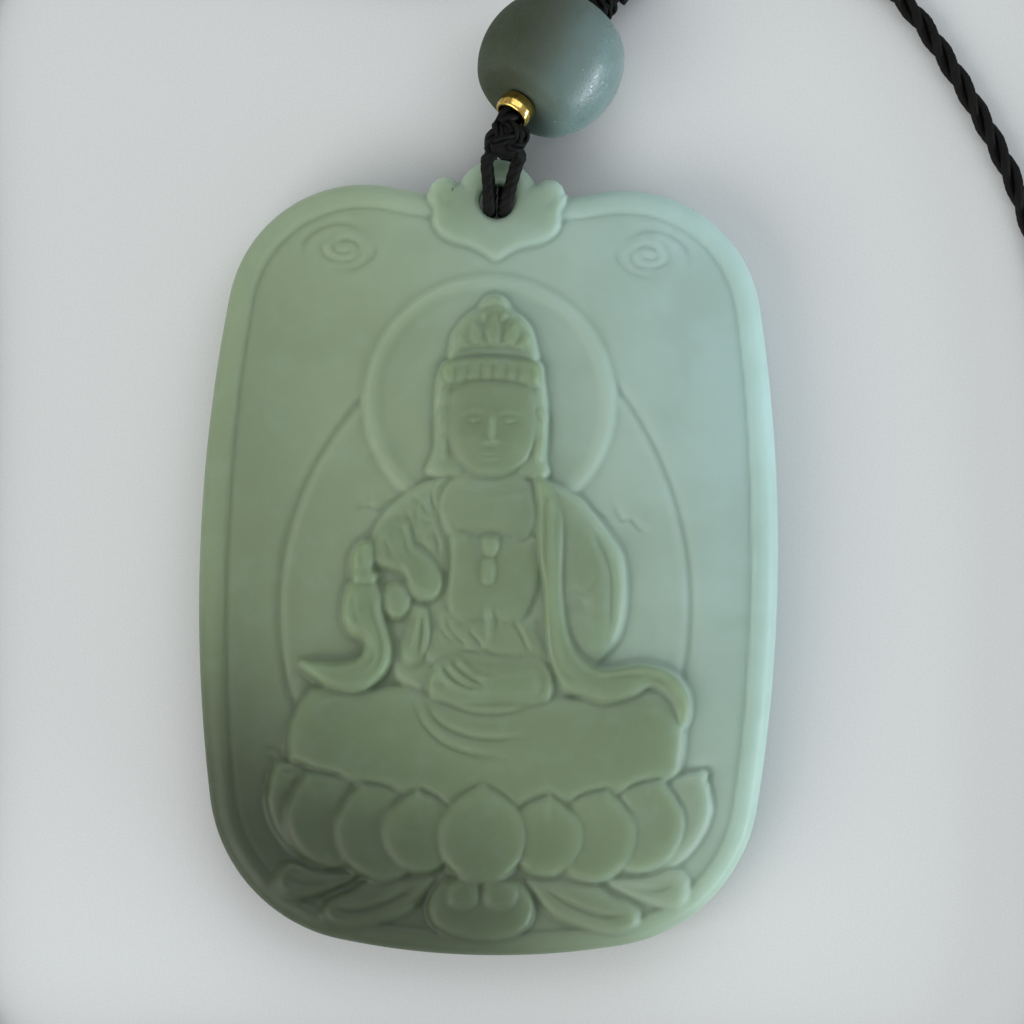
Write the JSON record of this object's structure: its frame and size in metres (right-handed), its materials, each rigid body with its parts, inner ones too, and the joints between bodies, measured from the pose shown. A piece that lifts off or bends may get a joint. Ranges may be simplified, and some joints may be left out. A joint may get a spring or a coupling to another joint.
{
  "type": "jade guanyin pendant on a neck cord",
  "caption": "Carved pale green jade plaque with a seated robed figure on a lotus, hung by a knotted cord with a gold spacer and a jade bead, lying on its back inside its neck cord loop.",
  "frame": {"origin": "middle of the plaque's flat back, on the surface that it lies on", "axes": "+Z out of the carved face, +Y from the lotus seat towards the tab and the bead, +X to the right as the carving is seen"},
  "size_m": [0.0918, 0.0977, 0.0106],
  "materials": {
    "plaque_jade": "satin",
    "bead_jade": "satin",
    "gold": "polished",
    "dark_cord": "satin"
  },
  "bodies": {
    "root": {"plaque": "plaque_jade", "bail_cord_left": "dark_cord", "bail_cord_right": "dark_cord", "bail_knot": "dark_cord", "gold_spacer": "gold", "jade_bead": "bead_jade", "bead_cord": "dark_cord", "top_knot": "dark_cord", "neck_cord": "dark_cord"}
  },
  "joints": []
}
